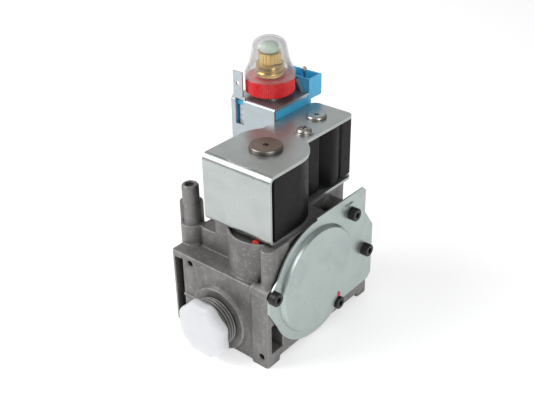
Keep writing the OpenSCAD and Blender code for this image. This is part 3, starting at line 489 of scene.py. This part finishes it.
def circle(b, centre, radius, axis, steps):
    """Adds a ring of vertices round the Y or the Z axis; radius may be a function of the angle."""
    ring = []
    for k in range(steps):
        angle = tau * k / steps
        r = radius(angle) if callable(radius) else radius
        if axis == "Y":
            ring.append(b.verts.new((centre[0] + r * cos(angle), centre[1], centre[2] + r * sin(angle))))
        else:
            ring.append(b.verts.new((centre[0] + r * cos(angle), centre[1] + r * sin(angle), centre[2])))
    return ring


def bridge(b, rings, steps):
    """Joins each ring to the next with one face for each step."""
    for first, second in zip(rings, rings[1:]):
        for k in range(steps):
            n = (k + 1) % steps
            b.faces.new((first[k], first[n], second[n], second[k]))


def box_mesh(low, high):
    b = bmesh.new()
    bmesh.ops.create_cube(b, size=1)
    for v in b.verts:
        v.co = Vector([(high[i] if v.co[i] > 0 else low[i]) for i in range(3)])
    mesh = bpy.data.meshes.new("box")
    b.to_mesh(mesh)
    b.free()
    return mesh


THREAD_PITCH = 1.814 * MM
THREAD_DEPTH = 1.162 * MM
THREAD_LENGTH = 12.484 * MM
THREAD_CREST = 13.22 * MM
THREAD_RUN_IN = 0.9 * MM
THREAD_RUN_OUT = 1.0 * MM
THREAD_PLAIN_END = 0.5 * MM
THREAD_CHAMFER = 0.6 * MM
THREAD_BURY = 0.6 * MM
# A tooth's height falls from its middle by this slope, cut off to a flat crest and a flat root
TOOTH_PEAK = 1.35
TOOTH_SLOPE = 2.9
PORT_BORE = 10.0 * MM
VOXEL = 0.5 * MM


def helical_stub(b, root_y, side, axis_z):
    """Adds a pipe thread to bmesh b: a real helix that runs out at both ends, with the bore through it."""
    steps, rows = 144, 84
    rings = []
    for row in range(rows + 1):
        along = THREAD_LENGTH * row / rows
        run_in = min(1.0, along / THREAD_RUN_IN)
        run_out = min(1.0, max(0.0, (THREAD_LENGTH - THREAD_PLAIN_END - along) / THREAD_RUN_OUT))
        window = run_in * run_out
        chamfer = max(0.0, along - THREAD_LENGTH + THREAD_CHAMFER)
        y = root_y + side * (along - (THREAD_BURY if row == 0 else 0))
        ring = []
        for k in range(steps):
            angle = tau * k / steps
            phase = (along / THREAD_PITCH - side * k / steps) % 1.0
            tooth = min(1.0, max(0.0, TOOTH_PEAK - TOOTH_SLOPE * abs(phase - 0.5)))
            r = THREAD_CREST - THREAD_DEPTH * (1 - tooth * window) - chamfer
            ring.append(b.verts.new((r * cos(angle), y, axis_z + r * sin(angle))))
        rings.append(ring)
    for y in (root_y + side * THREAD_LENGTH, root_y - side * THREAD_BURY):
        rings.append(circle(b, (0, y, axis_z), PORT_BORE, "Y", steps))
    bridge(b, rings + [rings[0]], steps)


def make_body():
    """The casting: edges and corners rounded as the die leaves them, with real pipe threads."""
    low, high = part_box("valve_body")
    axis_z = next(m for m in frame["record"]["mounts"] if m["name"] == "outlet_thread")["pos_m"][2]
    wide, past_end = 30 * MM, 5 * MM
    core = temporary("core", clean_copy("valve_body"))
    cutters = []
    for side, end in ((-1, low.y), (1, high.y)):
        root = end - side * THREAD_LENGTH
        near, far = sorted((root, end + side * past_end))
        block = box_mesh((-wide, near, axis_z - wide), (wide, far, axis_z + wide))
        cutters.append(temporary("cutter", block))
        cut = core.modifiers.new("cut", "BOOLEAN")
        cut.operation = "DIFFERENCE"
        cut.solver = "EXACT"
        cut.object = cutters[-1]
    remesh = core.modifiers.new("remesh", "REMESH")
    remesh.mode = "VOXEL"
    remesh.voxel_size = VOXEL
    soften = core.modifiers.new("soften", "SMOOTH")
    soften.factor = 0.5
    soften.iterations = 5
    mesh = evaluated(core)
    b = bmesh.new()
    b.from_mesh(mesh)
    for side, end in ((-1, low.y), (1, high.y)):
        helical_stub(b, end - side * THREAD_LENGTH, side, axis_z)
    bmesh.ops.recalc_face_normals(b, faces=b.faces)
    b.to_mesh(mesh)
    b.free()
    for extra in [core] + cutters:
        bpy.data.objects.remove(extra)
    mesh.shade_smooth()
    return show("valve_body_casting", mesh, "cast", "valve_body")


def lathe(name, profile, axis):
    """A closed ring or shell: profile points (radius, height) turned about a vertical axis."""
    steps = 128
    b = bmesh.new()
    rings = []
    for radius, height in profile:
        if radius < 1e-7:
            rings.append([b.verts.new((axis.x, axis.y, height))])
        else:
            rings.append(circle(b, (axis.x, axis.y, height), radius, "Z", steps))
    for first, second in zip(rings, rings[1:]):
        for k in range(steps):
            n = (k + 1) % steps
            corners = [first[k % len(first)], first[n % len(first)],
                       second[n % len(second)], second[k % len(second)]]
            unique = list(dict.fromkeys(corners))
            if len(unique) > 2:
                b.faces.new(unique)
    bmesh.ops.recalc_face_normals(b, faces=b.faces)
    mesh = bpy.data.meshes.new(name)
    b.to_mesh(mesh)
    b.free()
    mesh.shade_smooth()
    return mesh


def smooth_path(points, steps):
    """A Catmull-Rom curve through points (a, b)."""
    padded = [points[0]] + list(points) + [points[-1]]
    path = []
    for i in range(len(points) - 1):
        p = padded[i:i + 4]
        for k in range(steps):
            t = k / steps
            path.append(tuple(0.5 * (2 * p[1][j] + (p[2][j] - p[0][j]) * t
                                     + (2 * p[0][j] - 5 * p[1][j] + 4 * p[2][j] - p[3][j]) * t ** 2
                                     + (3 * p[1][j] - p[0][j] - 3 * p[2][j] + p[3][j]) * t ** 3)
                              for j in range(2)))
    return path + [points[-1]]


# The clear dome's outline, from its rim to its top: parts of its greatest radius and of its height
DOME_OUTLINE = [
    (1.0, 0.0), (1.0, 0.06), (0.985, 0.125), (0.925, 0.21), (0.858, 0.30), (0.80, 0.40), (0.746, 0.526),
    (0.71, 0.66), (0.675, 0.78), (0.59, 0.885), (0.43, 0.96), (0.22, 0.993), (0.0, 1.0),
]
DOME_WALL = 0.8 * MM
DOME_RIM_WALL = 1.8 * DOME_WALL


def make_clear_cap():
    """The clear dome: a thin shell with a thicker rim."""
    low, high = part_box("transparent_cap")
    axis = (low + high) / 2
    rim = (high.x - low.x) / 2
    tall = high.z - low.z
    outer = smooth_path([(rim * r, low.z + tall * h) for r, h in DOME_OUTLINE], 6)
    inner_top = tall - DOME_WALL
    inner = smooth_path([(max(0.0, rim * r - (DOME_RIM_WALL if h < 0.05 else DOME_WALL)),
                          low.z + inner_top * h) for r, h in DOME_OUTLINE], 6)
    profile = outer + inner[::-1] + [outer[0]]
    mesh = lathe("clear_cap_shell", [(max(0.0, r), z) for r, z in profile], axis)
    return show("transparent_cap_shell", mesh, "clear", "transparent_cap")


GRIP_LOBES = 8
LOBE_HEIGHT = 1.3 * MM
LOBE_FADE = 4 * MM
LOBE_SHARPNESS = 1.3
CAP_BORE = 13.27 * MM
CAP_FACE_WALL = 1.6 * MM


def make_inlet_cap():
    """The push-on cap: soft grip lobes round a skirt, and a slightly crowned face."""
    low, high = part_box("inlet_cap")
    centre = (low + high) / 2
    reach = (high.x - low.x) / 2
    depth = high.y - low.y
    steps = 192
    wall_y = low.y + CAP_FACE_WALL

    def outline(angle, inset):
        wave = ((1 - cos(GRIP_LOBES * angle)) / 2) ** LOBE_SHARPNESS
        return reach - LOBE_HEIGHT - inset + LOBE_HEIGHT * wave * max(0.0, 1 - inset / LOBE_FADE)

    b = bmesh.new()
    # Millimetres in from the skirt, and back from the face
    rows = [(14.0, 0.0), (11.0, 0.02), (7.0, 0.06), (4.4, 0.16), (3.0, 0.34), (1.9, 0.70), (1.1, 1.2),
            (0.5, 1.9), (0.15, 2.7), (0.0, 3.5), (0.0, 4.6), (0.0, depth / MM - 0.3), (0.25, depth / MM)]
    rings = []
    for inset, back in rows:
        place = (centre.x, low.y + back * MM, centre.z)
        rings.append(circle(b, place, lambda angle: outline(angle, inset * MM), "Y", steps))
    for radius, y in ((CAP_BORE + 0.2 * MM, high.y), (CAP_BORE, high.y - 0.2 * MM),
                      (CAP_BORE, wall_y + 0.3 * MM), (CAP_BORE - 0.3 * MM, wall_y)):
        rings.append(circle(b, (centre.x, y, centre.z), radius, "Y", steps))
    bridge(b, rings, steps)
    b.faces.new(rings[0][::-1])
    b.faces.new(rings[-1])
    bmesh.ops.recalc_face_normals(b, faces=b.faces)
    mesh = bpy.data.meshes.new("inlet_cap_mesh")
    b.to_mesh(mesh)
    b.free()
    mesh.shade_smooth()
    return show("inlet_cap_moulding", mesh, "white", "inlet_cap")


LUMP_HEIGHT = 0.28
LUMP_RATE = 1.6


def blob(name, centre, size, seed):
    """A dried drop of sealing lacquer, fixed to the valve; size is its half widths in millimetres."""
    b = bmesh.new()
    bmesh.ops.create_icosphere(b, subdivisions=4, radius=1)
    for v in b.verts:
        bump = 1 + LUMP_HEIGHT * noise.noise(v.co * LUMP_RATE + Vector((seed, 0, 0)))
        v.co = Vector([v.co[i] * size[i] * bump * MM for i in range(3)]) + centre
    mesh = bpy.data.meshes.new(name)
    b.to_mesh(mesh)
    b.free()
    mesh.shade_smooth()
    mesh.materials.append(materials["lacquer"])
    piece = bpy.data.objects.new(name, mesh)
    scene.collection.objects.link(piece)
    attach(piece, "valve")
    return piece


def make_lacquer_marks():
    """Sealing lacquer on the safety valve's joint and beside the lowest cover screw."""
    bracket_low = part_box("solenoid_bracket")[0]
    on_bracket = Vector((19.5 * MM, bracket_low.y + 0.4 * MM, bracket_low.z - 0.6 * MM))
    blob("lacquer_bracket", on_bracket, (2.0, 1.3, 1.2), 1)
    cover_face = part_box("diaphragm_cover")[1].x
    blob("lacquer_cover", Vector((cover_face, 10.8 * MM, 17.2 * MM)), (0.6, 1.2, 1.6), 5)


# ---------------------------------------------------------------- Stage and light


def make_floor():
    b = bmesh.new()
    bmesh.ops.create_grid(b, x_segments=8, y_segments=8, size=2.5)
    mesh = bpy.data.meshes.new("floor")
    b.to_mesh(mesh)
    b.free()
    floor = bpy.data.objects.new("floor", mesh)
    scene.collection.objects.link(floor)
    f = Finish("pale_floor", (0.86, 0.86, 0.86), 0.8)
    f.blend(f.remap(f.noise(0.4, 2), 0.3, 0.7), (0.88, 0.88, 0.88))
    f.set("Emission Color", (1, 1, 1, 1))
    f.set("Emission Strength", 0.50)
    f.set("Specular IOR Level", 0.1)
    mesh.materials.append(f.done())


LIGHT_AIM = Vector((0, 0, 0.06))


def softbox(name, toward, distance, width, height, power):
    """A rectangular light that faces the object from the direction toward."""
    data = bpy.data.lights.new(name, "AREA")
    data.shape = "RECTANGLE"
    data.size = width
    data.size_y = height
    data.energy = power
    lamp = bpy.data.objects.new(name, data)
    direction = Vector(toward).normalized()
    lamp.location = LIGHT_AIM + direction * distance
    lamp.rotation_euler = direction.to_track_quat("Z", "Y").to_euler()
    scene.collection.objects.link(lamp)


def make_light():
    world = bpy.data.worlds.new("studio")
    world.use_nodes = True
    tree = world.node_tree
    background = tree.nodes["Background"]
    coords = tree.nodes.new("ShaderNodeTexCoord")
    split = tree.nodes.new("ShaderNodeSeparateXYZ")
    ramp = tree.nodes.new("ShaderNodeValToRGB")
    tree.links.new(coords.outputs["Generated"], split.inputs[0])
    tree.links.new(split.outputs["Z"], ramp.inputs["Fac"])
    ramp.color_ramp.elements[0].position = 0.0
    ramp.color_ramp.elements[0].color = (0.34, 0.34, 0.35, 1)
    ramp.color_ramp.elements[1].position = 0.75
    ramp.color_ramp.elements[1].color = (0.40, 0.40, 0.41, 1)
    for position, level in ((0.40, 0.72), (1.0, 1.3)):
        ramp.color_ramp.elements.new(position).color = (level, level, level * 1.01, 1)
    tree.links.new(ramp.outputs["Color"], background.inputs["Color"])
    background.inputs["Strength"].default_value = 0.42
    scene.world = world
    softbox("front_left", (-0.56, -0.52, 0.65), 0.75, 0.5, 0.5, 3.4)
    softbox("back_left", (-0.60, 0.62, 0.50), 0.9, 0.9, 0.5, 0.8)
    softbox("right", (0.82, -0.32, 0.48), 0.8, 0.4, 0.5, 2.0)
    scene.view_settings.view_transform = "Standard"


make_camera()
materials = make_materials()
for node_name, finish_name in NODE_FINISH.items():
    node_object = frame["nodes"][node_name]
    node_object.data.materials.clear()
    node_object.data.materials.append(materials[finish_name])
for node_name, (finish_name, edge_radius) in EDGED.items():
    edged(node_name, finish_name, edge_radius)
make_body()
make_clear_cap()
make_inlet_cap()
make_lacquer_marks()
make_floor()
make_light()
